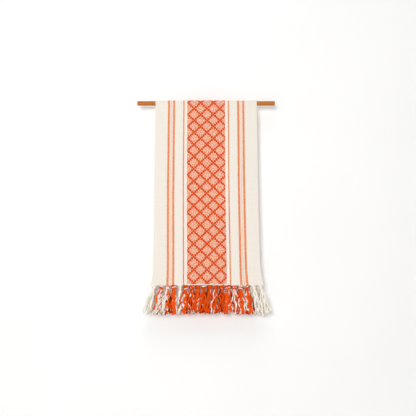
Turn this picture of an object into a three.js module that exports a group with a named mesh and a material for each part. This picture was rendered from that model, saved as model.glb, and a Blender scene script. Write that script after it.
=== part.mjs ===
// A woven cotton table runner, folded in half over a wooden rod, with a knotted fringe at each end.
// Millimetres, +Z up. The front leaf faces -Y, and the origin is the middle of the rod's axis.
// The cloth is one length of weaving: it is made as a front leaf, the fold over the rod and a back
// leaf, because the front leaf lifts while the rest stays on the rod.

import * as THREE from "three";

// Rod
const ROD_DIAMETER = 16;
const ROD_LENGTH = 490;
const ROD_END_CHAMFER = 0.8;
const ROD_SIDES = 32;

// Cloth
const CLOTH_WIDTH = 360;
const CLOTH_THICKNESS = 1.6;
const LEAF_DROP = 645; // from the rod's axis down to the hem
const FLARE_HEIGHT = 90; // the edges run straight above this and spread below it
const FLARE_STEPS = 6;
const FRONT_FLARE = { left: 3, right: 11 }; // how far each edge has spread at the hem
const BACK_FLARE = { left: 4, right: 4 };
const FOLD_STEPS = 16; // flats round the half turn of the fold

// Fringe
const TASSELS_PER_END = 18;
const TASSEL_LENGTH = 94; // from the hem to the strand ends
const NECK_LENGTH = 4; // loose warp ends between the hem and the knot
const NECK_DIAMETER = 5;
const KNOT_LENGTH = 10;
const SKIRT_NECK_DIAMETER = 8; // where the strands leave the knot
const TASSEL_SIDES = 8;
const FRONT_SPLAY = { left: 8, right: 15 }; // degrees that the outermost tassels lean outwards
const BACK_SPLAY = { left: 7, right: 7 };

// Clearances
const FOLD_CLEARANCE = 0.3; // rod to cloth
const PIECE_GAP = 0.3; // between pieces that touch
const KNOT_SPACING = 8; // between one knot and the next
const SKIRT_SPACING = 4; // between one skirt and the next
const FRINGE_SPACING = 3; // between the front fringe and the back fringe

// A leaf or a fringe turns about the middle of the cloth's edge, so that edge stands back from its
// neighbour by half the cloth's thickness: the corner then clears it at any angle.
const HINGE_GAP = CLOTH_THICKNESS / 2 + PIECE_GAP;

const foldInnerRadius = ROD_DIAMETER / 2 + FOLD_CLEARANCE;
const foldOuterRadius = foldInnerRadius + CLOTH_THICKNESS;
const leafOffset = foldInnerRadius + CLOTH_THICKNESS / 2; // rod axis to the middle of a leaf
const tasselPitch = CLOTH_WIDTH / TASSELS_PER_END;

const materials = {
  wood: new THREE.MeshStandardMaterial({ color: 0xc47f42, roughness: 0.55, metalness: 0 }),
  cream: new THREE.MeshStandardMaterial({ color: 0xf3ece0, roughness: 0.95, metalness: 0 }),
  creamAndOrange: new THREE.MeshStandardMaterial({ color: 0xeec3a6, roughness: 0.95, metalness: 0 }),
  orange: new THREE.MeshStandardMaterial({ color: 0xe2683a, roughness: 0.95, metalness: 0 }),
};

// Across the width, from the middle: a tassel is tied from the warp above it, so it is orange under the
// pattern band, cream and orange under the side stripes and cream beyond them.
const BAND_HALF_WIDTH = 75;
const STRIPES_HALF_WIDTH = 135;

const part = new THREE.Group();

function addPiece(name, geometry, material, parent = part) {
  const mesh = new THREE.Mesh(geometry, material.clone());
  mesh.name = name;
  parent.add(mesh);
  return mesh;
}

// Gives an outline drawn in (y, z) a length along X, centred on the origin.
function extrudeAlongX(outline, length) {
  const geometry = new THREE.ExtrudeGeometry(outline, { depth: length, bevelEnabled: false, steps: 1 });
  geometry.translate(0, 0, -length / 2);
  geometry.applyMatrix4(new THREE.Matrix4().makeBasis(
    new THREE.Vector3(0, 1, 0),
    new THREE.Vector3(0, 0, 1),
    new THREE.Vector3(1, 0, 0),
  ));
  return geometry;
}

// A turned stick with its edges just broken at both ends.
function rodGeometry() {
  const radius = ROD_DIAMETER / 2;
  const half = ROD_LENGTH / 2;
  const profile = [
    new THREE.Vector2(0, -half),
    new THREE.Vector2(radius - ROD_END_CHAMFER, -half),
    new THREE.Vector2(radius, -half + ROD_END_CHAMFER),
    new THREE.Vector2(radius, half - ROD_END_CHAMFER),
    new THREE.Vector2(radius - ROD_END_CHAMFER, half),
    new THREE.Vector2(0, half),
  ];
  const geometry = new THREE.LatheGeometry(profile, ROD_SIDES);
  geometry.rotateZ(-Math.PI / 2);
  return geometry;
}

// The half turn of cloth over the top of the rod.
function foldGeometry() {
  const outline = new THREE.Shape();
  const arcPoint = (radius, step) => {
    const angle = (Math.PI * step) / FOLD_STEPS;
    return new THREE.Vector2(radius * Math.cos(angle), radius * Math.sin(angle));
  };
  const steps = Array.from({ length: FOLD_STEPS + 1 }, (_, step) => step);
  const outer = steps.map((step) => arcPoint(foldOuterRadius, step));
  const inner = steps.map((step) => arcPoint(foldInnerRadius, step)).reverse();
  outline.setFromPoints([...outer, ...inner]);
  return extrudeAlongX(outline, CLOTH_WIDTH);
}

// A flat leaf that hangs from z = -topGap to the hem, where its edges spread by the flare.
function leafGeometry(topGap, flare) {
  const edge = (side, spread) => Array.from({ length: FLARE_STEPS + 1 }, (_, step) => {
    const share = step / FLARE_STEPS;
    const x = CLOTH_WIDTH / 2 + spread * share * share;
    return new THREE.Vector2(side * x, -LEAF_DROP + FLARE_HEIGHT * (1 - share));
  });
  const outline = new THREE.Shape([
    new THREE.Vector2(CLOTH_WIDTH / 2, -topGap),
    new THREE.Vector2(-CLOTH_WIDTH / 2, -topGap),
    ...edge(-1, flare.left),
    ...edge(1, flare.right).reverse(),
  ]);
  const geometry = new THREE.ExtrudeGeometry(outline, { depth: CLOTH_THICKNESS, bevelEnabled: false });
  geometry.translate(0, 0, -CLOTH_THICKNESS / 2);
  geometry.rotateX(Math.PI / 2);
  return geometry;
}

// One tassel, hanging from a point on the hem: loose warp ends, the knot they are tied in, and the
// skirt of strands below it. Its depth is limited by the fringe on the other side of the rod. The
// lean lifts one corner of its top, so the top starts lower by as much.
function tasselGeometry(lean) {
  const neck = NECK_DIAMETER / 2;
  const top = -HINGE_GAP - neck * Math.abs(Math.sin(lean));
  const knot = (tasselPitch - KNOT_SPACING) / 2;
  const skirtNeck = Math.min(SKIRT_NECK_DIAMETER / 2, knot);
  const skirt = (tasselPitch - SKIRT_SPACING) / 2;
  const knotTop = -NECK_LENGTH;
  const knotMiddle = knotTop - KNOT_LENGTH / 2;
  const knotBottom = knotTop - KNOT_LENGTH;
  const skirtMiddle = (knotBottom - TASSEL_LENGTH) / 2;
  const profile = [
    new THREE.Vector2(0, -TASSEL_LENGTH),
    new THREE.Vector2(skirt, -TASSEL_LENGTH),
    new THREE.Vector2((skirt + skirtNeck) / 2, skirtMiddle),
    new THREE.Vector2(skirtNeck, knotBottom),
    new THREE.Vector2(knot, knotMiddle),
    new THREE.Vector2(neck, knotTop),
    new THREE.Vector2(neck, top),
    new THREE.Vector2(0, top),
  ];
  const geometry = new THREE.LatheGeometry(profile, TASSEL_SIDES, Math.PI / TASSEL_SIDES);
  geometry.rotateX(Math.PI / 2);
  const halfDepth = leafOffset - FRINGE_SPACING / 2;
  geometry.scale(1, Math.min(1, halfDepth / skirt), 1);
  return geometry;
}

function tasselMaterial(x) {
  if (Math.abs(x) < BAND_HALF_WIDTH) {
    return materials.orange;
  }
  return Math.abs(x) < STRIPES_HALF_WIDTH ? materials.creamAndOrange : materials.cream;
}

// Leans a tassel outwards about the hem: nothing in the middle, the full splay at the edges.
function splayAngle(x, splay) {
  const share = x / (CLOTH_WIDTH / 2);
  const edgeAngle = THREE.MathUtils.degToRad(x < 0 ? splay.left : splay.right);
  return -Math.sign(share) * share * share * edgeAngle;
}

// A row of tassels, spaced evenly along a hem that the flare has made a little wider than the cloth.
function addFringe(side, y, flare, splay) {
  const fringe = new THREE.Group();
  fringe.position.set(0, y, -LEAF_DROP);
  part.add(fringe);
  const hemLeft = -CLOTH_WIDTH / 2 - flare.left;
  const hemRight = CLOTH_WIDTH / 2 + flare.right;
  for (let i = 0; i < TASSELS_PER_END; i += 1) {
    const share = (i + 0.5) / TASSELS_PER_END;
    const number = String(i + 1).padStart(2, "0");
    const woven = (share - 0.5) * CLOTH_WIDTH;
    const lean = splayAngle(woven, splay);
    const name = `${side}_tassel_${number}`;
    const tassel = addPiece(name, tasselGeometry(lean), tasselMaterial(woven), fringe);
    tassel.position.x = THREE.MathUtils.lerp(hemLeft, hemRight, share);
    tassel.rotation.y = lean;
  }
}

addPiece("hanging_rod", rodGeometry(), materials.wood);
addPiece("runner_fold", foldGeometry(), materials.cream);
const frontLeaf = addPiece("runner_front_leaf", leafGeometry(HINGE_GAP, FRONT_FLARE), materials.cream);
frontLeaf.position.y = -leafOffset;
const backLeaf = addPiece("runner_back_leaf", leafGeometry(PIECE_GAP, BACK_FLARE), materials.cream);
backLeaf.position.y = leafOffset;
addFringe("front", -leafOffset, FRONT_FLARE, FRONT_SPLAY);
addFringe("back", leafOffset, BACK_FLARE, BACK_SPLAY);

export default part;
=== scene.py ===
"""A woven cotton table runner, folded over a wooden rod, with a knotted fringe at each end."""

import math
import random
from collections import namedtuple

import bpy
import numpy as np
from bpy.props import EnumProperty, FloatProperty, FloatVectorProperty, IntProperty, PointerProperty
from mathutils import Matrix, Vector


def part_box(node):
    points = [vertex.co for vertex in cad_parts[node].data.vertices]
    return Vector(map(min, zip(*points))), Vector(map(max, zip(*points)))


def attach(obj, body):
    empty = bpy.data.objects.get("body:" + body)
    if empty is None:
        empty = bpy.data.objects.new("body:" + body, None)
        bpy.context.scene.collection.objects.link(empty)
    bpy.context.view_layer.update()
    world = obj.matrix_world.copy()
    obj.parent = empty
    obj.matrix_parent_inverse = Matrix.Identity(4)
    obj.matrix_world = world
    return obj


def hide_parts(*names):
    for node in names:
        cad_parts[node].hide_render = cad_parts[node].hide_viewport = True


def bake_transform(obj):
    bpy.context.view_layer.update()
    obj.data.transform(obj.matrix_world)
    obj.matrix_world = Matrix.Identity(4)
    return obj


bl_info = {
    "name": "Hanging Table Runner",
    "version": (1, 0, 0),
    "blender": (4, 5, 0),
    "location": "View3D > Sidebar > Runner",
    "description": "Makes a woven table runner with a knotted fringe, hung over a wooden rod",
    "category": "Add Mesh",
}

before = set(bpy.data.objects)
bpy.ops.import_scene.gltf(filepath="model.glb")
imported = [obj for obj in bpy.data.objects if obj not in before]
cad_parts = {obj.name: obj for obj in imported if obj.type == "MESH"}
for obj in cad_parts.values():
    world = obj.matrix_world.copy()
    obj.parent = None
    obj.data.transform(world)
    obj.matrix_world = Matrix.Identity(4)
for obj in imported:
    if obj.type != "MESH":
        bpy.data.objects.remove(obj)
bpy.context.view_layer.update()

# Sizes that the frame gives, in metres.
ROD_LOW, ROD_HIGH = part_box("hanging_rod")
_, FOLD_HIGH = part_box("runner_fold")
FRONT_LOW, FRONT_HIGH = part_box("runner_front_leaf")
BACK_LOW, BACK_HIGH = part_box("runner_back_leaf")

ROD_RADIUS = ROD_HIGH.z
ROD_LENGTH = ROD_HIGH.x - ROD_LOW.x
HALF_WIDTH = FOLD_HIGH.x
THICKNESS = FRONT_HIGH.y - FRONT_LOW.y
HALF_THICKNESS = THICKNESS / 2
FOLD_RADIUS = FOLD_HIGH.z - HALF_THICKNESS
HEM_Z = FRONT_LOW.z
LEAF_DROP = -HEM_Z
QUARTER_TURN = FOLD_RADIUS * math.pi / 2
HEM_ALONG = QUARTER_TURN + LEAF_DROP
TASSELS_PER_END = sum(1 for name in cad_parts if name.startswith("front_tassel_"))
NUMBERS = range(1, TASSELS_PER_END + 1)

# The cloth is one length of weaving, made as two sheets that meet at the front of the rod, where the
# front leaf starts to lift.
SEAM_ALONG = QUARTER_TURN + 0.001
# How the leaves hang out of true: wider and out at the corners, to one side, and in waves.
FLARE_HEIGHT = 0.09
LEFT_CORNER_FLARE = 0.0085
RIGHT_CORNER_CURL = 0.0025
CORNER_CURL = 0.0008
SWAY = 0.003
SWAY_FROM = 0.28
FRONT_PHASE = 0.6
BACK_PHASE = 2.9

# The weave: four yarns to a pattern cell, and eight cells to a diamond.
CELL = 0.00548
CELL_ACROSS = 0.00567
YARN_PITCH = CELL / 4
PATTERN_START = 0.0153
BAND_HALF_WIDTH = 0.0668
# The lattice lies slightly to one side of the centre line, less so towards the hems.
PATTERN_SHIFT_CREST = 0.0035
PATTERN_SHIFT_HEM = 0.0006
# The band stops this far short of each hem.
HEADING = 0.004


class RunnerClothSettings(bpy.types.PropertyGroup):
    """Sizes and colours of the cloth."""

    wave: FloatProperty(
        name="Wave", description="How far the leaves stand out of true at the hem",
        default=0.0016, min=0.0, max=0.004, unit="LENGTH",
    )
    float_height: FloatProperty(
        name="Float Height", description="How far the pattern yarns stand above the ground weave",
        default=0.0005, min=0.0002, max=0.001, unit="LENGTH",
    )
    cream: FloatVectorProperty(
        name="Cream", description="Colour of the undyed cotton",
        default=(0.86, 0.80, 0.715), subtype="COLOR",
    )
    orange: FloatVectorProperty(
        name="Orange", description="Colour of the dyed cotton",
        default=(0.77, 0.064, 0.01), subtype="COLOR",
    )


class RunnerFringeSettings(bpy.types.PropertyGroup):
    """Sizes of the tassels."""

    strands: IntProperty(
        name="Strands", description="Plied strands in a tassel",
        default=12, min=6, max=16,
    )
    strand_radius: FloatProperty(
        name="Strand Radius", description="Radius of a plied strand",
        default=0.0023, min=0.001, max=0.003, unit="LENGTH",
    )
    shortest: FloatProperty(
        name="Shortest", description="Length of the shortest strand below the hem",
        default=0.080, unit="LENGTH",
    )
    longest: FloatProperty(
        name="Longest", description="Length of the longest strand below the hem",
        default=0.098, unit="LENGTH",
    )
    twist: FloatProperty(
        name="Twist", description="Length of strand in which its plies turn once",
        default=0.015, unit="LENGTH",
    )
    tousle: FloatProperty(
        name="Tousle", description="How far a tassel in the middle leans to either side",
        default=math.radians(7), unit="ROTATION",
    )
    splay: FloatVectorProperty(
        name="Splay", description="Outward lean of the outermost tassels: front left, front right and back",
        size=3, default=(math.radians(12), math.radians(18.5), math.radians(8)), unit="ROTATION",
    )


class RunnerRodSettings(bpy.types.PropertyGroup):
    """Sizes and colours of the rod."""

    edge_bevel: FloatProperty(
        name="Edge Bevel", description="Width of the broken edge round each end",
        default=0.0008, unit="LENGTH",
    )
    light_wood: FloatVectorProperty(
        name="Light Wood", description="Colour of the pale grain",
        default=(0.56, 0.19, 0.032), subtype="COLOR",
    )
    dark_wood: FloatVectorProperty(
        name="Dark Wood", description="Colour of the dark grain",
        default=(0.36, 0.10, 0.014), subtype="COLOR",
    )


class RunnerStudioSettings(bpy.types.PropertyGroup):
    """The wall, the floor, the lights and the camera."""

    wall_distance: FloatProperty(
        name="Wall Distance", description="From the rod's axis back to the wall",
        default=0.052, unit="LENGTH",
    )
    floor_height: FloatProperty(
        name="Floor Height", description="Height of the floor, from the rod's axis",
        default=-1.15, unit="LENGTH",
    )
    camera_distance: FloatProperty(
        name="Camera Distance", description="From the camera to the middle of the object",
        default=1.98, unit="LENGTH",
    )
    camera_elevation: FloatProperty(
        name="Camera Elevation", description="How far the camera stands above the object, as an angle",
        default=math.radians(-10), unit="ROTATION",
    )
    lens: FloatProperty(
        name="Lens", description="Focal length of the camera in millimetres",
        default=49.8,
    )


# Meshes


def mesh_piece(name, points, faces):
    """An object at the origin with a mesh of these points and faces."""
    mesh = bpy.data.meshes.new(name)
    mesh.from_pydata([tuple(point) for point in points], [], faces)
    mesh.polygons.foreach_set("use_smooth", [True] * len(faces))
    mesh.update()
    piece = bpy.data.objects.new(name, mesh)
    bpy.context.scene.collection.objects.link(piece)
    return piece


def set_attribute(mesh, name, values):
    attribute = mesh.attributes.new(name, "FLOAT", "POINT")
    attribute.data.foreach_set("value", np.asarray(values, np.float32))


def set_uv(mesh, name, point_uv):
    """Gives every corner the UV of its point."""
    layer = mesh.uv_layers.new(name=name)
    corners = np.zeros(len(mesh.loops), np.int32)
    mesh.loops.foreach_get("vertex_index", corners)
    layer.data.foreach_set("uv", np.asarray(point_uv, np.float32)[corners].ravel())
    layer.active = True


def smoothstep(value):
    value = np.clip(value, 0, 1)
    return value * value * (3 - 2 * value)


def drape(across, along, out=0.0):
    """Points of the hung cloth.

    across is measured from the centre line, along from the crest of the fold, positive towards the
    front hem, and out from the middle of the cloth's thickness.
    """
    across = np.asarray(across, float)
    along = np.asarray(along, float)
    across, along, out = np.broadcast_arrays(across, along, np.asarray(out, float))
    front = along > 0
    angle = np.clip(along / FOLD_RADIUS, -math.pi / 2, math.pi / 2)
    drop = np.maximum(np.abs(along) - QUARTER_TURN, 0)
    radius = FOLD_RADIUS + out
    y = -radius * np.sin(angle)
    z = radius * np.cos(angle) - drop

    share = np.clip((drop - LEAF_DROP + FLARE_HEIGHT) / FLARE_HEIGHT, 0, 1)
    edge = np.abs(across) / HALF_WIDTH
    left = across < 0
    front_flare = np.where(left, LEFT_CORNER_FLARE, FRONT_HIGH.x - HALF_WIDTH)
    back_flare = np.where(left, -BACK_LOW.x - HALF_WIDTH, BACK_HIGH.x - HALF_WIDTH)
    flare = np.where(front, front_flare, back_flare) * edge ** np.where(front & left, 6, 3)
    sway = np.where(front, SWAY, 0.0) * smoothstep((drop - SWAY_FROM) / (LEAF_DROP - SWAY_FROM))
    x = across + np.sign(across) * flare * share**2 + sway

    height = bpy.context.scene.runner_cloth.wave * (drop / LEAF_DROP) ** 1.3
    phase = np.where(front, FRONT_PHASE, BACK_PHASE)
    wave = np.sin(across * 24 + phase + drop * 1.5) + 0.5 * np.sin(across * 55 + 2 * phase - drop * 4)
    curl = np.where(front & (across > 0), RIGHT_CORNER_CURL, CORNER_CURL) * share**2 * edge**6
    y = y + np.where(front, -1, 1) * (height * wave + curl)
    return np.stack([x, y, z], axis=-1)


# Yarn

# How a strand is laid: its plies, the columns of points on each, how deep its grooves are, and the
# length of its twist and its radius, as shares of those that the settings give.
Lay = namedtuple("Lay", "plies columns depth twist radius", defaults=(1.0, 1.0))
PLIED = Lay(3, 4, 0.32)
SOFT = Lay(4, 4, 0.20, 2.6, 1.45)
BUNDLE = Lay(6, 3, 0.16, 4.5, 1.9)
STRAY = Lay(2, 3, 0.2, 0.6, 0.34)
WRAP = Lay(3, 4, 0.25, 0.75, 1.02)
CORD = Lay(2, 4, 0.25)
ACROSS = np.array([1.0, 0.0, 0.0])
UP = np.array([0.0, 0.0, 1.0])


def sweep(path, radii, reference, lay, twist, start):
    """Rings of points round a path, shaped as plies that turn round it.

    With them come how near each point is to the crown of its ply, and how far along each ring is.
    reference is a direction that the path never takes. The rings turn with the plies, so each column
    of points stays on one ply.
    """
    tangent = np.gradient(path, axis=0)
    tangent /= np.linalg.norm(tangent, axis=1)[:, None]
    first = reference - (tangent @ reference)[:, None] * tangent
    first /= np.linalg.norm(first, axis=1)[:, None]
    second = np.cross(tangent, first)
    steps = np.linalg.norm(np.diff(path, axis=0), axis=1)
    length = np.concatenate([[0.0], np.cumsum(steps)])
    columns = lay.plies * lay.columns
    around = np.arange(columns) * 2 * math.pi / columns
    crown = np.abs(np.cos(around * lay.plies / 2))
    shape = 1 - lay.depth + lay.depth * crown
    angle = around[None, :] + start + (length * 2 * math.pi / twist)[:, None]
    reach = radii[:, None] * shape[None, :]
    rings = (
        path[:, None, :]
        + (reach * np.cos(angle))[:, :, None] * first[:, None, :]
        + (reach * np.sin(angle))[:, :, None] * second[:, None, :]
    )
    return rings, np.broadcast_to(crown, reach.shape), length


class YarnMesh:
    """Gathers strands into the points, faces and attributes of one mesh."""

    def __init__(self):
        self.points = []
        self.faces = []
        self.orange = []
        self.tone = []
        self.crown = []
        self.uv = []
        self.count = 0

    def add(self, rings, crown, length, ply_orange, tone):
        """Adds a strand. ply_orange says how orange each of its columns is."""
        ring_count, columns, _ = rings.shape
        base = self.count
        self.points.append(rings.reshape(-1, 3))
        self.points.append(rings[[0, -1]].mean(axis=1))
        self.orange.append(np.tile(ply_orange, ring_count))
        self.orange.append([ply_orange.mean()] * 2)
        self.tone.append([tone] * (ring_count * columns + 2))
        self.crown.append(crown.ravel())
        self.crown.append([0.5] * 2)
        around = np.arange(columns) / columns
        grid_u, grid_v = np.meshgrid(around, length)
        self.uv.append(np.stack([grid_u.ravel(), grid_v.ravel()], axis=1))
        self.uv.append([(0.5, length[0]), (0.5, length[-1])])
        for ring in range(ring_count - 1):
            row = base + ring * columns
            for column in range(columns):
                following = (column + 1) % columns
                self.faces.append(
                    (row + column, row + following, row + columns + following, row + columns + column)
                )
        last = base + (ring_count - 1) * columns
        first_pole = base + ring_count * columns
        for column in range(columns):
            following = (column + 1) % columns
            self.faces.append((first_pole, base + following, base + column))
            self.faces.append((first_pole + 1, last + column, last + following))
        self.count += ring_count * columns + 2

    def piece(self, name):
        piece = mesh_piece(name, np.concatenate(self.points), self.faces)
        set_attribute(piece.data, "yarn_orange", np.concatenate(self.orange))
        set_attribute(piece.data, "yarn_tone_and_shade", np.concatenate(self.tone))
        set_attribute(piece.data, "yarn_crown", np.concatenate(self.crown))
        set_uv(piece.data, "yarn", np.concatenate(self.uv))
        return piece


# Materials


def new_material(name):
    material = bpy.data.materials.new(name)
    material.use_nodes = True
    return material, material.node_tree, material.node_tree.nodes["Principled BSDF"]


def feed(tree, socket, value):
    """Links a socket to another node's output, or sets it to a plain value."""
    if isinstance(value, bpy.types.NodeSocket):
        tree.links.new(value, socket)
    else:
        socket.default_value = value


def set_inputs(node, values):
    """Sets a node's inputs to plain values, by their names."""
    for name, value in values.items():
        node.inputs[name].default_value = value


def maths(tree, operation, *values, clamp=False):
    node = tree.nodes.new("ShaderNodeMath")
    node.operation = operation
    node.use_clamp = clamp
    for socket, value in zip(node.inputs, values):
        feed(tree, socket, value)
    return node.outputs["Value"]


def times(tree, first, second):
    return maths(tree, "MULTIPLY", first, second)


def mix_colour(tree, share, first, second, blend="MIX"):
    node = tree.nodes.new("ShaderNodeMix")
    node.data_type = "RGBA"
    node.blend_type = blend
    for place, value in zip((0, 6, 7), (share, first, second)):
        feed(tree, node.inputs[place], value)
    return node.outputs[2]


def mix_value(tree, share, first, second):
    node = tree.nodes.new("ShaderNodeMix")
    node.data_type = "FLOAT"
    for place, value in zip((0, 2, 3), (share, first, second)):
        feed(tree, node.inputs[place], value)
    return node.outputs[0]


def ramp(tree, value, low, high, to_low=0.0, to_high=1.0):
    node = tree.nodes.new("ShaderNodeMapRange")
    for socket, given in zip(node.inputs, (value, low, high, to_low, to_high)):
        feed(tree, socket, given)
    return node.outputs[0]


def vector(tree, x, y, z=0.0):
    node = tree.nodes.new("ShaderNodeCombineXYZ")
    for socket, value in zip(node.inputs, (x, y, z)):
        feed(tree, socket, value)
    return node.outputs[0]


def noise(tree, place, scale, detail=2.0, roughness=0.5):
    node = tree.nodes.new("ShaderNodeTexNoise")
    feed(tree, node.inputs["Vector"], place)
    set_inputs(node, {"Scale": scale, "Detail": detail, "Roughness": roughness})
    return node.outputs[0]


def stretched(tree, place, scales):
    """A place with each of its coordinates scaled on its own."""
    return vector(tree, *[times(tree, value, scale) for value, scale in zip(place, scales)])


def hypotenuse(tree, x, y):
    """How far a place is from the origin, by two of its coordinates."""
    squares = [maths(tree, "POWER", value, 2.0) for value in (x, y)]
    return maths(tree, "SQRT", maths(tree, "ADD", *squares))


def tinted(tree, colour, tint):
    """A colour multiplied by another."""
    return mix_colour(tree, 1.0, colour, tint, "MULTIPLY")


def shaded(tree, colour, shade):
    """A colour multiplied by one value."""
    node = tree.nodes.new("ShaderNodeCombineColor")
    for socket in node.inputs:
        feed(tree, socket, shade)
    return tinted(tree, colour, node.outputs[0])


def bump(tree, shader, height, strength, distance):
    node = tree.nodes.new("ShaderNodeBump")
    set_inputs(node, {"Strength": strength, "Distance": distance})
    feed(tree, node.inputs["Height"], height)
    tree.links.new(node.outputs["Normal"], shader.inputs["Normal"])


def cotton_surface(shader, roughness, sheen, sheen_roughness):
    """A dull surface, with the faint sheen of loose fibres."""
    set_inputs(shader, {"Roughness": roughness, "Specular IOR Level": 0.05})
    set_inputs(shader, {"Sheen Weight": sheen, "Sheen Roughness": sheen_roughness})


def split_uv(tree, name):
    source = tree.nodes.new("ShaderNodeUVMap")
    source.uv_map = name
    node = tree.nodes.new("ShaderNodeSeparateXYZ")
    tree.links.new(source.outputs["UV"], node.inputs[0])
    return node.outputs[0], node.outputs[1]


def point_value(tree, name):
    node = tree.nodes.new("ShaderNodeAttribute")
    node.attribute_name = name
    return node.outputs["Fac"]


def solid(colour):
    return (colour[0], colour[1], colour[2], 1.0)


# The height on the weave above which orange shows: the lower, the more of the surface is orange.
SOME_ORANGE = 0.30
HALF_ORANGE = 0.03
MORE_ORANGE = -0.30
NO_ORANGE = 2.0
ALL_ORANGE = -2.0
STRIPES = [
    # centre, width and level of each stripe
    (0.0789, 0.0045, MORE_ORANGE),
    (0.1135, 0.0072, MORE_ORANGE),
    (0.1227, 0.0018, SOME_ORANGE),
    (0.1320, 0.0072, MORE_ORANGE),
]
# The middle and half the width of a strip on each side where a little orange tints the cream.
BLUSH = (0.12275, 0.00925)
# Painted bounce light: cream yarn among orange ones is tinted by the light the orange throws on it, more in
# the narrow stripes than in the band.
STRIPE_CREAM_BOUNCE = (1.02, 0.86, 0.52, 1.0)
BAND_CREAM_BOUNCE = (1.0, 0.91, 0.70, 1.0)
# The orange of the stripes is yellower than the band's.
STRIPE_ORANGE = (1.04, 1.75, 1.6, 1.0)
# How much the share of orange wanders, how much more in the band, and a cream dot's size in its cell.
UNEVEN = 0.30
BAND_UNEVEN_GAIN = 1.2
DOT_RADIUS = 0.40
# How softly orange gives way to cream, on the scale of the levels.
SOFTNESS = 0.12


def woven_material(settings):
    """Plain weave in cream and orange, with the stripes and the pattern band woven in."""
    material, tree, shader = new_material("woven_cotton_cloth")
    across, along = split_uv(tree, "cloth")
    place = vector(tree, across, along)

    # Yarns wander a little.
    drift = maths(tree, "SUBTRACT", noise(tree, place, 45.0), 0.5)
    across_yarn = maths(tree, "MULTIPLY_ADD", drift, 0.0012, across)
    along_yarn = maths(tree, "MULTIPLY_ADD", drift, 0.0010, along)
    warp_count = maths(tree, "DIVIDE", across_yarn, YARN_PITCH)
    weft_count = maths(tree, "DIVIDE", along_yarn, YARN_PITCH)
    warp = maths(tree, "SINE", times(tree, warp_count, math.pi))
    weft = maths(tree, "SINE", times(tree, weft_count, math.pi))
    crossing = times(tree, warp, weft)
    pillow = maths(tree, "ABSOLUTE", crossing)

    # Stripes, by the distance from the centre line.
    from_centre = maths(tree, "ABSOLUTE", across_yarn)
    level = NO_ORANGE
    for centre, width, stripe_level in STRIPES:
        inside = maths(tree, "COMPARE", from_centre, centre, width / 2)
        level = mix_value(tree, inside, level, stripe_level)

    # The pattern band: which cell of the diamond is this?
    from_crest = maths(tree, "ABSOLUTE", along)
    shift = ramp(tree, from_crest, 0.0, HEM_ALONG, PATTERN_SHIFT_CREST, PATTERN_SHIFT_HEM)
    column_share = maths(tree, "DIVIDE", maths(tree, "SUBTRACT", across, shift), CELL_ACROSS)
    column = maths(tree, "ROUND", column_share)
    row_share = maths(tree, "DIVIDE", maths(tree, "SUBTRACT", along, PATTERN_START), CELL)
    row = maths(tree, "ROUND", row_share)
    rising = maths(tree, "PINGPONG", maths(tree, "SUBTRACT", column, row), 4.0)
    falling = maths(tree, "PINGPONG", maths(tree, "ADD", column, row), 4.0)
    reach = maths(tree, "MAXIMUM", rising, falling)
    lattice = maths(tree, "GREATER_THAN", reach, 3.5)
    ring = maths(tree, "COMPARE", reach, 3.0, 0.5)
    off_axis = maths(tree, "GREATER_THAN", maths(tree, "PINGPONG", column, 2.0), 0.5)
    cell_x = maths(tree, "SUBTRACT", column_share, column)
    cell_y = maths(tree, "SUBTRACT", row_share, row)
    in_dot = maths(tree, "LESS_THAN", hypotenuse(tree, cell_x, cell_y), DOT_RADIUS)
    dot = times(tree, times(tree, ring, off_axis), in_dot)
    band_level = mix_value(tree, dot, HALF_ORANGE, SOME_ORANGE)
    band_level = mix_value(tree, lattice, band_level, ALL_ORANGE)
    in_band = maths(tree, "LESS_THAN", from_centre, BAND_HALF_WIDTH)
    before_hem = maths(tree, "LESS_THAN", from_crest, HEM_ALONG - HEADING)
    in_band = times(tree, in_band, before_hem)
    level = mix_value(tree, in_band, level, band_level)

    uneven = ramp(tree, noise(tree, place, 330.0, 1.0), 0.3, 0.7, -UNEVEN, UNEVEN)
    band_gain = maths(tree, "MULTIPLY_ADD", in_band, BAND_UNEVEN_GAIN, 1.0)
    uneven = times(tree, uneven, band_gain)
    level = maths(tree, "ADD", level, uneven)
    is_orange = ramp(
        tree, crossing, maths(tree, "SUBTRACT", level, SOFTNESS), maths(tree, "ADD", level, SOFTNESS)
    )

    # Each yarn is a little lighter or darker along its length.
    warp_streak = noise(tree, stretched(tree, (across, along), (620.0, 9.0)), 1.0)
    weft_streak = noise(tree, stretched(tree, (across, along), (9.0, 620.0)), 1.0)
    streak = maths(tree, "ADD", warp_streak, weft_streak)
    fibre = noise(tree, place, 2600.0, 3.0, 0.65)
    cream_shade = ramp(tree, streak, 0.6, 1.4, 0.955, 1.03)
    orange_shade = ramp(tree, streak, 0.6, 1.4, 0.80, 1.18)
    # Painted shade: the cloth is darker between the yarns, where the weave dips.
    painted_gap_shade = ramp(tree, pillow, 0.0, 0.45, 0.90, 1.0)

    cream = shaded(tree, solid(settings.cream), cream_shade)
    orange = shaded(tree, solid(settings.orange), orange_shade)
    blush = maths(tree, "COMPARE", from_centre, *BLUSH)
    cream = mix_colour(tree, times(tree, blush, 0.09), cream, orange)
    # Painted bounce light from the orange yarns, tinting the cream among them.
    among_orange = maths(tree, "LESS_THAN", level, 0.5)
    tint = mix_colour(tree, in_band, STRIPE_CREAM_BOUNCE, BAND_CREAM_BOUNCE)
    cream = mix_colour(tree, among_orange, cream, tinted(tree, cream, tint))
    stripe_orange = tinted(tree, orange, STRIPE_ORANGE)
    orange = mix_colour(tree, in_band, stripe_orange, orange)
    colour = mix_colour(tree, is_orange, cream, orange)
    colour = shaded(tree, colour, painted_gap_shade)
    feed(tree, shader.inputs["Base Color"], colour)
    cotton_surface(shader, 0.95, 0.02, 0.5)

    height = maths(tree, "MULTIPLY_ADD", fibre, 0.35, maths(tree, "POWER", pillow, 0.6))
    bump(tree, shader, height, 0.55, 0.00022)
    return material


YARN_CREAM = (0.98, 0.935, 0.845, 1.0)
YARN_ORANGE = (0.84, 0.092, 0.006, 1.0)


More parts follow.
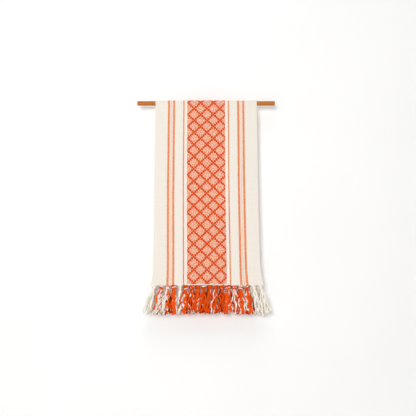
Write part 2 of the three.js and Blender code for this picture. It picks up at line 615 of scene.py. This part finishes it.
def yarn_material():
    """Plied cotton in cream and orange, each strand and ply by its own attributes."""
    material, tree, shader = new_material("cotton_yarn")
    around, along = split_uv(tree, "yarn")
    orange_share = point_value(tree, "yarn_orange")
    tone = point_value(tree, "yarn_tone_and_shade")
    crown = point_value(tree, "yarn_crown")
    fibre = noise(tree, stretched(tree, (around, along), (26.0, 260.0)), 1.0, 3.0, 0.6)
    slub = noise(tree, vector(tree, times(tree, along, 60.0), tone), 1.0)

    colour = mix_colour(tree, orange_share, YARN_CREAM, YARN_ORANGE)
    # Painted shade: darker in the grooves between the plies, away from each ply's crown.
    painted_groove_shade = ramp(tree, crown, 0.0, 0.75, 0.78, 1.0)
    shade = times(tree, tone, painted_groove_shade)
    shade = times(tree, shade, ramp(tree, fibre, 0.3, 0.7, 0.92, 1.06))
    shade = times(tree, shade, ramp(tree, slub, 0.3, 0.7, 0.96, 1.03))
    # The painted shade and the tone are warm: green and blue fall off faster than red.
    warm = tree.nodes.new("ShaderNodeCombineColor")
    feed(tree, warm.inputs[0], shade)
    feed(tree, warm.inputs[1], maths(tree, "POWER", shade, 1.35))
    feed(tree, warm.inputs[2], maths(tree, "POWER", shade, 1.80))
    colour = tinted(tree, colour, warm.outputs[0])
    feed(tree, shader.inputs["Base Color"], colour)
    cotton_surface(shader, 0.9, 0.01, 0.45)
    bump(tree, shader, fibre, 0.5, 0.00025)
    return material


# The middle of the tree, from the rod's axis, in Y and Z.
PITH = (0.021, 0.013)


def wood_material(settings):
    """Straight-grained wood along X, with rings and pores, and darker at its ends."""
    material, tree, shader = new_material("oiled_wood")
    source = tree.nodes.new("ShaderNodeTexCoord")
    place = tree.nodes.new("ShaderNodeSeparateXYZ")
    tree.links.new(source.outputs["Object"], place.inputs[0])
    x, y, z = place.outputs
    grain = noise(tree, stretched(tree, (x, y, z), (5.0, 190.0, 190.0)), 1.0, 4.0, 0.6)
    pith = hypotenuse(tree, maths(tree, "ADD", y, PITH[0]), maths(tree, "ADD", z, PITH[1]))
    drift = noise(tree, vector(tree, times(tree, x, 3.0), y, z), 4.0)
    wander = maths(tree, "MULTIPLY_ADD", drift, 0.004, pith)
    ring = maths(tree, "PINGPONG", times(tree, wander, 620.0), 1.0)
    pores = noise(tree, stretched(tree, (x, y, z), (60.0, 1500.0, 1500.0)), 1.0, 2.0)
    streaks = ramp(tree, grain, 0.35, 0.7, 0.0, 0.6)
    dark = maths(tree, "MULTIPLY_ADD", ramp(tree, ring, 0.55, 1.0), 0.45, streaks, clamp=True)
    colour = mix_colour(tree, dark, solid(settings.light_wood), solid(settings.dark_wood))
    pore = ramp(tree, pores, 0.62, 0.74, 1.0, 0.62)
    end = ROD_LENGTH / 2
    end_grain = ramp(tree, maths(tree, "ABSOLUTE", x), end - 0.0012, end - 0.0002, 1.0, 0.72)
    colour = shaded(tree, colour, times(tree, pore, end_grain))
    feed(tree, shader.inputs["Base Color"], colour)
    feed(tree, shader.inputs["Roughness"], ramp(tree, grain, 0.3, 0.7, 0.45, 0.6))
    set_inputs(shader, {"Specular IOR Level": 0.2})
    height = maths(tree, "SUBTRACT", grain, times(tree, pores, 0.5))
    bump(tree, shader, height, 0.25, 0.0003)
    return material


def cover(piece, name, make, *settings):
    """Gives a piece the material of this name, which is made if there is none yet."""
    piece.data.materials.append(bpy.data.materials.get(name) or make(*settings))


# Pieces


def bevel_edges(piece, name, width, segments):
    """Rounds the active piece's sharp edges."""
    bevel = piece.modifiers.new(name, "BEVEL")
    bevel.width = width
    bevel.segments = segments
    bevel.limit_method = "ANGLE"
    bevel.angle_limit = math.radians(60)
    bpy.ops.object.modifier_apply(modifier=bevel.name)


# The widths of the two rings inside the edge of each end.
END_RINGS = (0.0022, 0.0025)


def make_rod(context):
    settings = context.scene.runner_rod
    bpy.ops.mesh.primitive_cylinder_add(
        vertices=96, radius=ROD_RADIUS, depth=ROD_LENGTH, rotation=(0, math.pi / 2, 0)
    )
    rod = context.active_object
    rod.name = "wooden_rod"
    bpy.ops.object.transform_apply(location=True, rotation=True, scale=True)

    bpy.ops.object.mode_set(mode="EDIT")
    bpy.ops.mesh.select_mode(type="FACE")
    bpy.ops.mesh.select_all(action="DESELECT")
    bpy.ops.object.mode_set(mode="OBJECT")
    for face in rod.data.polygons:
        face.select = abs(face.normal.x) > 0.9
    bpy.ops.object.mode_set(mode="EDIT")
    for width in END_RINGS:
        bpy.ops.mesh.inset(thickness=width)
    bpy.ops.object.mode_set(mode="OBJECT")

    bevel_edges(rod, "broken_edge", settings.edge_bevel, 3)
    bpy.ops.object.shade_smooth_by_angle(angle=math.radians(40))
    cover(rod, "oiled_wood", wood_material, settings)
    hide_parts("hanging_rod")
    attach(rod, "rod")


SHEET_COLUMNS = 112
FOLD_STEP = 0.0011
LEAF_STEP = 0.0032


def row_places(first, last):
    """Distances along the cloth at which a sheet has its rows: close on the fold, wider on a leaf."""
    places = [first]
    while places[-1] < last - 1e-9:
        here = places[-1]
        step = FOLD_STEP if abs(here) < SEAM_ALONG else LEAF_STEP
        if here < -SEAM_ALONG < here + step:
            step = -SEAM_ALONG - here
        places.append(min(here + step, last))
    return places


def make_sheet(context, name, first, last):
    """A sheet of the cloth between two distances along it, thickened, with softened edges."""
    places = row_places(first, last)
    rows = len(places) - 1
    bpy.ops.mesh.primitive_grid_add(
        x_subdivisions=SHEET_COLUMNS, y_subdivisions=rows, size=1.0, calc_uvs=False
    )
    sheet = context.active_object
    sheet.name = name
    mesh = sheet.data
    flat = np.zeros(len(mesh.vertices) * 3)
    mesh.vertices.foreach_get("co", flat)
    flat = flat.reshape(-1, 3)
    across = flat[:, 0] * 2 * HALF_WIDTH
    row = np.rint((0.5 - flat[:, 1]) * rows).astype(int)
    along = np.asarray(places)[row]
    mesh.vertices.foreach_set("co", drape(across, along).ravel())
    set_uv(mesh, "cloth", np.stack([across, along], axis=1))
    mesh.update()

    solidify = sheet.modifiers.new("thickness", "SOLIDIFY")
    solidify.thickness = THICKNESS
    solidify.offset = 0.0
    solidify.use_even_offset = True
    bpy.ops.object.modifier_apply(modifier=solidify.name)
    bevel_edges(sheet, "soft_edge", THICKNESS * 0.3, 2)
    bpy.ops.object.shade_smooth()
    cover(sheet, "woven_cotton_cloth", woven_material, context.scene.runner_cloth)
    return sheet


# How much of the pitch a float fills, how far it sinks at its ends, over what length and how narrow
# there, and the shortest float that is made.
FLOAT_FILL = 0.48
FLOAT_SINK = 0.0003
FLOAT_SLOPE = 0.001
FLOAT_END = 0.55
SHORTEST_FLOAT = 0.003


def float_ends(yarn, run, half):
    """One float's distance along the cloth and its two ends across it."""
    place = PATTERN_START + yarn * YARN_PITCH
    share = min(abs(place) / HEM_ALONG, 1.0)
    shift = PATTERN_SHIFT_CREST + (PATTERN_SHIFT_HEM - PATTERN_SHIFT_CREST) * share
    return place, shift + run[0] * CELL_ACROSS - half, shift + run[-1] * CELL_ACROSS + half


def float_runs(first, last):
    """Where each pattern yarn floats: (along, left, right) of every float between two distances.

    A block of floats is seven yarns tall and wider than its cell, so the blocks of a diagonal
    overlap. A yarn that two blocks share floats across both.
    """
    half = 0.70 * CELL_ACROSS
    first_yarn = math.ceil((first - PATTERN_START) / YARN_PITCH)
    last_yarn = math.floor((last - PATTERN_START) / YARN_PITCH)
    for yarn in range(first_yarn, last_yarn + 1):
        rows = {row for row in (yarn // 4, yarn // 4 + 1) if abs(yarn - 4 * row) <= 3}
        columns = sorted(
            {
                column
                for row in rows
                for column in range(-13, 14)
                if (column - row) % 8 == 4 or (column + row) % 8 == 4
            }
        )
        run = []
        for column in columns:
            if run and column - run[-1] > 1:
                yield float_ends(yarn, run, half)
                run = []
            run.append(column)
        yield float_ends(yarn, run, half)


def make_floats(context, name, first, last, seed):
    """The raised orange yarns of the diamond lattice, between two distances along the cloth."""
    rng = random.Random(seed)
    height = context.scene.runner_cloth.float_height
    half_yarn = YARN_PITCH * FLOAT_FILL
    ring_shape = ((0.5, 1), (1.0, 0), (-1.0, 0), (-0.5, 1))
    across = []
    along = []
    out = []
    tone = []
    faces = []
    for place, left, right in float_runs(first, last):
        if min(right, BAND_HALF_WIDTH) - max(left, -BAND_HALF_WIDTH) < SHORTEST_FLOAT:
            continue
        left = max(left, -BAND_HALF_WIDTH) + rng.uniform(-0.0002, 0.0002)
        right = min(right, BAND_HALF_WIDTH) + rng.uniform(-0.0002, 0.0002)
        place += rng.uniform(-0.00006, 0.00006)
        lift = height * rng.uniform(0.85, 1.15)
        shade = rng.uniform(0.86, 1.0)
        base = len(across)
        for station, narrow, top in (
            (left, FLOAT_END, -FLOAT_SINK),
            (left + FLOAT_SLOPE, 1.0, lift),
            (right - FLOAT_SLOPE, 1.0, lift),
            (right, FLOAT_END, -FLOAT_SINK),
        ):
            for side, is_top in ring_shape:
                across.append(station)
                along.append(place + side * half_yarn * narrow)
                out.append(HALF_THICKNESS + (top if is_top else min(top, 0.0) - FLOAT_SINK))
        tone += [shade] * 16
        for station in range(3):
            for corner in range(4):
                here = base + station * 4 + corner
                beside = base + station * 4 + (corner + 1) % 4
                faces.append((here, beside, beside + 4, here + 4))
        faces.append((base + 3, base + 2, base + 1, base))
        faces.append((base + 12, base + 13, base + 14, base + 15))
    floats = mesh_piece(name, drape(across, along, out), faces)
    set_attribute(floats.data, "yarn_orange", np.ones(len(across)))
    set_attribute(floats.data, "yarn_tone_and_shade", tone)
    crown = [float(is_top) for _, is_top in ring_shape] * (len(across) // len(ring_shape))
    set_attribute(floats.data, "yarn_crown", crown)
    set_uv(floats.data, "yarn", np.stack([np.asarray(along) / YARN_PITCH, across], axis=1))
    cover(floats, "cotton_yarn", yarn_material)
    return floats


CORD_RINGS = 300
CORD_TWIST = 0.0065
CORD_END = HALF_WIDTH - 0.0006


def make_heading(name, sign):
    """The twined cord that holds the last weft, along the hem."""
    path = drape(np.linspace(-CORD_END, CORD_END, CORD_RINGS), sign * (HEM_ALONG - 0.0005))
    radii = np.full(CORD_RINGS, HALF_THICKNESS + 0.00045)
    rings = sweep(path, radii, UP, CORD, CORD_TWIST, 0.0)
    yarn = YarnMesh()
    yarn.add(*rings, np.zeros(CORD.plies * CORD.columns), 1.0)
    heading = yarn.piece(name)
    cover(heading, "cotton_yarn", yarn_material)
    return heading


# The share of each tassel's strands that is orange, from left to right. It follows the stripes and
# the band that the warp ends come from.
ORANGE_SHARES = (
    0.02, 0.15, 0.38, 0.60, 0.12, 0.62,
    0.90, 0.90, 0.90, 0.90, 0.90, 0.90,
    0.55, 0.18, 0.60, 0.55, 0.05, 0.0,
)


def orange_share(number):
    return ORANGE_SHARES[(number - 1) % len(ORANGE_SHARES)]


# How light the strands are, and the painted shade that makes those on the inner side of a tassel darker.
ORANGE_TONES = (0.84, 1.20)
CREAM_TONES = (0.99, 1.08)
INNER_ORANGE_SHADE = (0.38, 0.66)
INNER_CREAM_SHADE = 0.90

KNOT_TOP = 0.0018
KNOT_HEIGHT = 0.0105
KNOT_WRAPS = 3
STRAYS = 4
STRAND_RINGS = 44
WRAP_RINGS = 28

# How wide and how deep a tassel is at the hem, in the knot and at the bottom, and how far its strands
# wave. At the hem and at the bottom, the width is a share of the room that a tassel has.
ROOT_SPREAD = (0.86, 0.0006)
CORE_SPREAD = (0.0050, 0.0034)
END_SPREAD = (1.08, 0.0068)
STRAND_WAVES = (0.0018, 0.0008)
# A wave or a twist may start anywhere in a turn.
ANY_ANGLE = (0, 6.3)

def strand_colours(rng, kind, lay):
    """How orange each column of a strand is: one value for each ply."""
    plies = [0.0] * lay.plies
    if kind == "orange":
        plies = [1.0] * lay.plies
        if rng.random() < 0.10:
            plies[rng.randrange(lay.plies)] = 0.2
    elif kind == "mixed":
        plies = [1.0 if ply % 2 else 0.05 for ply in range(lay.plies)]
    elif rng.random() < 0.06:
        plies[rng.randrange(lay.plies)] = 0.5
    return np.repeat(plies, lay.columns)


def add_strand(yarn, rng, settings, root, core, end, length, kind, lay, tone):
    """One strand, from the hem through the knot to its cut end, in the tassel's own frame.

    root, core and end are (across, out) places at the hem, in the knot and at the bottom.
    """
    above_knot = np.linspace(-0.0012, KNOT_TOP, 5)[:-1]
    z = -np.concatenate([above_knot, np.linspace(KNOT_TOP, length, STRAND_RINGS)])
    knot_bottom = KNOT_TOP + KNOT_HEIGHT
    into_knot = smoothstep(-z / KNOT_TOP)
    hang = np.clip((-z - knot_bottom) / (length - knot_bottom), 0, 1)
    spread = 1 - (1 - hang) ** 2.0
    loose = smoothstep(hang / 0.3)
    place = []
    for axis, size in enumerate(STRAND_WAVES):
        long_wave = np.sin(z * 2 * math.pi / rng.uniform(0.026, 0.055) + rng.uniform(*ANY_ANGLE))
        short_wave = np.sin(z * 2 * math.pi / rng.uniform(0.013, 0.022) + rng.uniform(*ANY_ANGLE))
        wave = rng.uniform(0.5, 2.0) * long_wave + rng.uniform(0.1, 0.5) * short_wave
        at_core = root[axis] + (core[axis] - root[axis]) * into_knot
        place.append(at_core + (end[axis] - core[axis]) * spread + size * wave * loose)
    path = np.stack([place[0], place[1], z], axis=1)
    gathered = 0.52 + 0.48 * smoothstep(hang / 0.22)
    swell = 1 + 0.06 * np.sin(z * 900 + rng.uniform(*ANY_ANGLE))
    radii = settings.strand_radius * lay.radius * rng.uniform(0.9, 1.12) * gathered * swell
    radii[-3:] *= (1.04, 1.1, 1.04)
    rings = sweep(
        path,
        radii,
        ACROSS,
        lay,
        settings.twist * lay.twist * rng.uniform(0.85, 1.2),
        rng.uniform(*ANY_ANGLE),
    )
    yarn.add(*rings, strand_colours(rng, kind, lay), tone)


def add_wrap(yarn, rng, settings, height, tilt, kind, tone):
    """One turn of the knot round the strands. Its ends are tucked into the middle."""
    share = np.linspace(0, 1, WRAP_RINGS)
    angle = tilt[1] + 0.6 + share * 2 * math.pi * 1.12
    tuck = np.minimum(smoothstep(share / 0.12), smoothstep((1 - share) / 0.12))
    reach = 0.0014 + 0.0031 * tuck
    x = 1.2 * reach * np.cos(angle)
    y = 0.85 * reach * np.sin(angle)
    z = height + tilt[0] * np.cos(angle - tilt[1]) - 0.0012 * (share - 0.5)
    rings = sweep(
        np.stack([x, y, z], axis=1),
        np.full(WRAP_RINGS, settings.strand_radius * WRAP.radius * rng.uniform(0.95, 1.12)),
        UP,
        WRAP,
        settings.twist * WRAP.twist,
        rng.uniform(*ANY_ANGLE),
    )
    yarn.add(*rings, strand_colours(rng, kind, WRAP), tone)


def make_tassel(context, side, number):
    """A tassel: warp ends gathered from the hem, an overhand knot, and the plied strands below it."""
    settings = context.scene.runner_fringe
    name = f"{side}_tassel_{number:02d}"
    rng = random.Random(f"{side} {number}")
    share = (number - 0.5) / TASSELS_PER_END
    woven = (share - 0.5) * 2 * HALF_WIDTH
    pitch = 2 * HALF_WIDTH / TASSELS_PER_END
    sign = 1 if side == "front" else -1
    splay = settings.splay[2] if side == "back" else settings.splay[0 if woven < 0 else 1]
    edge = woven / HALF_WIDTH
    lean = -math.copysign(edge * edge, edge) * splay
    lean += rng.uniform(-1, 1) * settings.tousle * (1 - edge * edge)

    wanted = orange_share(number)
    total = settings.strands
    orange_count = min(total, int(round(wanted * total + rng.uniform(-0.4, 0.4))))
    if wanted < 0.1:
        orange_count = 0
    kinds = ["orange"] * orange_count + ["cream"] * (total - orange_count)
    for index in range(total):
        if 0.05 < wanted < 0.8 and rng.random() < 0.08:
            kinds[index] = "mixed"
    rng.shuffle(kinds)

    yarn = YarnMesh()
    per_row = math.ceil(total / 2)
    bottom_shift = rng.uniform(-0.002, 0.002)
    for index, kind in enumerate(kinds):
        layer = index % 2
        column = (index // 2 + 0.5 + (0.25 if layer else -0.25)) / per_row - 0.5
        root = (column * pitch * ROOT_SPREAD[0], (layer - 0.5) * ROOT_SPREAD[1])
        core = (column * CORE_SPREAD[0], (layer - 0.5) * CORE_SPREAD[1])
        end = (
            (column + rng.gauss(0, 0.20)) * pitch * END_SPREAD[0] + bottom_shift,
            (layer - 0.5) * END_SPREAD[1] + rng.uniform(-0.0010, 0.0010),
        )
        length = rng.uniform(settings.shortest, settings.longest) * (0.97 + 0.08 * edge * edge)
        lay = SOFT if kind == "orange" and rng.random() < 0.42 else PLIED
        tone = rng.uniform(*(ORANGE_TONES if kind == "orange" else CREAM_TONES))
        # Painted shade: strands on the inner side of the tassel are made darker.
        if (layer == 1) == (side == "front"):
            tone *= rng.uniform(*INNER_ORANGE_SHADE) if kind == "orange" else INNER_CREAM_SHADE
        add_strand(yarn, rng, settings, root, core, end, length, kind, lay, tone)

    if 0.5 < wanted < 0.7:
        place = rng.uniform(-0.25, 0.25) * pitch
        core = (place * 0.5, -sign * 0.002)
        end = (place, -sign * 0.0042)
        length = settings.longest * 0.97
        add_strand(yarn, rng, settings, (0.0, 0.0), core, end, length, "orange", BUNDLE, 1.05)
    stray_kinds = kinds + ["cream"] * orange_count
    for _ in range(STRAYS):
        place = (rng.uniform(-0.6, 0.6) * pitch, rng.uniform(-0.0045, 0.0045))
        length = rng.uniform(0.6, 0.98) * settings.longest
        kind = rng.choice(stray_kinds)
        add_strand(yarn, rng, settings, (0.0, 0.0), (0.0, 0.0), place, length, kind, STRAY, 1.0)

    tilt = (rng.uniform(0.0010, 0.0026), rng.choice((0.0, math.pi)) + rng.uniform(-0.7, 0.7))
    for turn in range(KNOT_WRAPS):
        kind = rng.choice(kinds)
        height = -KNOT_TOP - KNOT_HEIGHT * (turn + 0.5) / KNOT_WRAPS
        tone = rng.uniform(0.85, 1.08) if kind == "orange" else rng.uniform(0.94, 1.04)
        add_wrap(yarn, rng, settings, height, tilt, kind, tone)

    tassel = yarn.piece(name + "_yarn")
    hem_x, hem_y, _ = drape(woven, sign * HEM_ALONG)
    tassel.data.transform(Matrix.Rotation(lean, 4, "Y"))
    tassel.data.transform(Matrix.Translation((float(hem_x), float(hem_y), HEM_Z)))
    cover(tassel, "cotton_yarn", yarn_material)
    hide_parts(name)
    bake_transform(tassel)
    return tassel


# Operators


class RUNNER_OT_rod(bpy.types.Operator):
    """Make the wooden rod"""

    bl_idname = "runner.rod"
    bl_label = "Wooden Rod"

    def execute(self, context):
        make_rod(context)
        return {"FINISHED"}


class RUNNER_OT_fringe(bpy.types.Operator):
    """Make the row of tassels at one end of the cloth"""

    bl_idname = "runner.fringe"
    bl_label = "Fringe"

    side: EnumProperty(
        name="Side", description="Which end of the cloth the fringe is on",
        items=[("front", "Front", "The end in front"), ("back", "Back", "The end behind")],
        default="front",
    )

    def execute(self, context):
        for number in NUMBERS:
            make_tassel(context, self.side, number)
        return {"FINISHED"}


class RUNNER_OT_cloth(bpy.types.Operator):
    """Make the woven cloth, its raised pattern yarns and the cord along each hem"""

    bl_idname = "runner.cloth"
    bl_label = "Woven Cloth"

    def execute(self, context):
        ends = {"front": (SEAM_ALONG, HEM_ALONG), "back": (-HEM_ALONG, SEAM_ALONG)}
        nodes = {"front": ["runner_front_leaf"], "back": ["runner_fold", "runner_back_leaf"]}
        for side, sign in (("front", 1), ("back", -1)):
            first, last = ends[side]
            sheet = make_sheet(context, f"{side}_cloth", first, last)
            pattern_first = max(first, -HEM_ALONG + HEADING)
            pattern_last = min(last, HEM_ALONG - HEADING)
            floats = make_floats(context, f"{side}_pattern_yarns", pattern_first, pattern_last, side)
            heading = make_heading(f"{side}_heading_cord", sign)
            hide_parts(*nodes[side])
            if side == "front":
                for piece in (sheet, floats, heading):
                    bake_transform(piece)
            else:
                for piece in (sheet, floats, heading):
                    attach(piece, "runner")
        return {"FINISHED"}


class RUNNER_OT_studio(bpy.types.Operator):
    """Make the wall, the floor, the lights and the camera"""

    bl_idname = "runner.studio"
    bl_label = "Studio"

    def execute(self, context):
        settings = context.scene.runner_studio
        make_wall(context, settings)
        make_floor(context, settings)
        make_lights(context)
        make_camera(context, settings)
        return {"FINISHED"}


def painted_plane(context, name, size, place, turn, paint, colour, roughness):
    """A plane of the studio, in paint with a faint mottle."""
    bpy.ops.mesh.primitive_plane_add(size=size, location=place, rotation=turn)
    plane = context.active_object
    plane.name = name
    bpy.ops.object.transform_apply(location=True, rotation=True, scale=True)
    material, tree, shader = new_material(paint)
    source = tree.nodes.new("ShaderNodeTexCoord")
    mottle = ramp(tree, noise(tree, source.outputs["Object"], 3.0), 0.3, 0.7, 0.985, 1.0)
    feed(tree, shader.inputs["Base Color"], shaded(tree, solid(colour), mottle))
    set_inputs(shader, {"Roughness": roughness, "Specular IOR Level": 0.1})
    plane.data.materials.append(material)
    return plane, tree, shader


def make_wall(context, settings):
    """A white wall behind the object, seen from its front only."""
    place = (0, settings.wall_distance, 0.8)
    upright = (math.pi / 2, 0, 0)
    colour = (0.90, 0.90, 0.895)
    wall, tree, shader = painted_plane(
        context, "backdrop_wall", 8.0, place, upright, "wall_paint", colour, 0.9
    )
    set_inputs(shader, {"Emission Color": WHITE, "Emission Strength": 0.05})
    geometry = tree.nodes.new("ShaderNodeNewGeometry")
    clear = tree.nodes.new("ShaderNodeBsdfTransparent")
    choose = tree.nodes.new("ShaderNodeMixShader")
    tree.links.new(geometry.outputs["Backfacing"], choose.inputs[0])
    tree.links.new(shader.outputs[0], choose.inputs[1])
    tree.links.new(clear.outputs[0], choose.inputs[2])
    tree.links.new(choose.outputs[0], tree.nodes["Material Output"].inputs["Surface"])
    wall.visible_shadow = False


def make_floor(context, settings):
    place = (0, 0, settings.floor_height)
    grey = (0.80, 0.79, 0.78)
    floor, *_ = painted_plane(context, "studio_floor", 12.0, place, (0, 0, 0), "floor_paint", grey, 0.85)


WHITE = (1.0, 1.0, 1.0, 1.0)
# The height that the lights face, and the place across and the height that the camera faces.
LIGHTS_FACE = -0.36
CAMERA_FACES = (0.0066, -0.3812)


def add_softbox(name, azimuth, elevation, distance, size, power):
    """A square light that faces the middle of the object. Azimuth 0 is the front, 90 is +X."""
    middle = Vector((0, 0, LIGHTS_FACE))
    turn = math.radians(azimuth)
    rise = math.radians(elevation)
    away = Vector((math.sin(turn) * math.cos(rise), -math.cos(turn) * math.cos(rise), math.sin(rise)))
    light = bpy.data.lights.new(name, "AREA")
    light.shape = "SQUARE"
    light.size = size
    light.energy = power
    lamp = bpy.data.objects.new(name, light)
    lamp.location = middle + away * distance
    lamp.rotation_euler = away.to_track_quat("Z", "Y").to_euler()
    lamp.visible_camera = False
    bpy.context.scene.collection.objects.link(lamp)


LIGHTS = (
    # name, azimuth, elevation, distance, size and power of each light
    ("key_light", -10, 2, 3.6, 1.0, 69.0),
    ("top_light", 8, 54, 4.0, 3.0, 62.0),
    ("back_left_light", 215, 20, 2.6, 1.2, 13.0),
    ("back_right_light", 140, 20, 2.6, 1.2, 8.0),
)


def make_lights(context):
    for light in LIGHTS:
        add_softbox(*light)
    world = bpy.data.worlds.new("studio_air")
    world.use_nodes = True
    set_inputs(world.node_tree.nodes["Background"], {"Color": WHITE, "Strength": 0.15})
    context.scene.world = world


def make_camera(context, settings):
    target = Vector((CAMERA_FACES[0], -FOLD_RADIUS - HALF_THICKNESS, CAMERA_FACES[1]))
    rise = settings.camera_elevation
    away = Vector((0, -math.cos(rise), math.sin(rise)))
    data = bpy.data.cameras.new("photographer")
    data.lens = settings.lens
    data.sensor_width = 36.0
    camera = bpy.data.objects.new("photographer", data)
    camera.location = target + away * settings.camera_distance
    camera.rotation_euler = away.to_track_quat("Z", "Y").to_euler()
    context.scene.collection.objects.link(camera)
    context.scene.camera = camera
    context.scene.view_settings.view_transform = "Standard"


class RUNNER_PT_sidebar(bpy.types.Panel):
    """The runner's pieces, in the order they are made"""

    bl_label = "Table Runner"
    bl_idname = "RUNNER_PT_sidebar"
    bl_space_type = "VIEW_3D"
    bl_region_type = "UI"
    bl_category = "Runner"

    def draw(self, context):
        layout = self.layout
        scene = context.scene
        layout.operator("runner.rod")
        layout.operator("runner.fringe", text="Front Fringe").side = "front"
        layout.operator("runner.fringe", text="Back Fringe").side = "back"
        layout.operator("runner.cloth")
        layout.operator("runner.studio")
        for group in (scene.runner_cloth, scene.runner_fringe, scene.runner_rod, scene.runner_studio):
            box = layout.box()
            for name in group.__annotations__:
                box.prop(group, name)


SETTINGS = {
    "runner_cloth": RunnerClothSettings,
    "runner_fringe": RunnerFringeSettings,
    "runner_rod": RunnerRodSettings,
    "runner_studio": RunnerStudioSettings,
}
CLASSES = (
    *SETTINGS.values(),
    RUNNER_OT_rod,
    RUNNER_OT_fringe,
    RUNNER_OT_cloth,
    RUNNER_OT_studio,
    RUNNER_PT_sidebar,
)


def register():
    for cls in CLASSES:
        bpy.utils.register_class(cls)
    for name, group in SETTINGS.items():
        setattr(bpy.types.Scene, name, PointerProperty(type=group))


def unregister():
    for name in SETTINGS:
        delattr(bpy.types.Scene, name)
    for cls in reversed(CLASSES):
        bpy.utils.unregister_class(cls)


def main():
    register()
    bpy.ops.runner.rod()
    bpy.ops.runner.fringe(side="front")
    bpy.ops.runner.fringe(side="back")
    bpy.ops.runner.cloth()
    bpy.ops.runner.studio()


if __name__ == "__main__":
    main()
